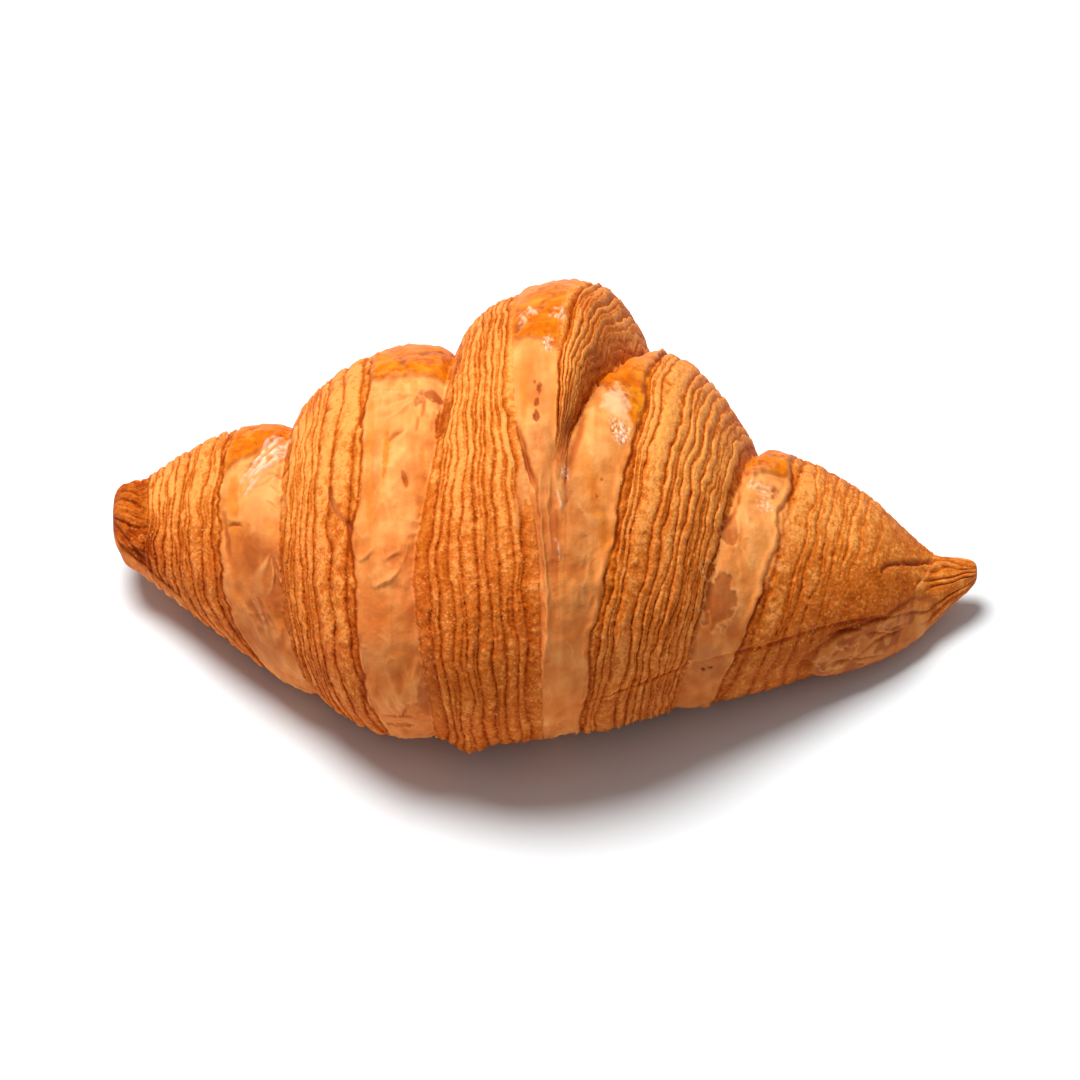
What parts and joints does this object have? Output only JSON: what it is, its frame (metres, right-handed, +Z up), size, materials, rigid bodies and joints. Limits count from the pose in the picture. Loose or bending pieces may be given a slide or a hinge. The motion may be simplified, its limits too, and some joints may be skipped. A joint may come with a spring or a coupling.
{
  "type": "croissant",
  "caption": "Straight plump butter croissant with stepped, rolled turns, ridged layered edges and smooth glazed bands, resting on its flat underside.",
  "frame": {"origin": "middle of the bounding box's bottom face, on the flat underside", "axes": "+X along the roll from the blunt tip to the pointed tip, -Y towards the front that the picture shows, +Z up"},
  "size_m": [0.15, 0.0883, 0.0615],
  "materials": {
    "crust": "baked golden crust with a satin egg glaze"
  },
  "bodies": {
    "root": {"croissant": "crust"}
  },
  "joints": []
}
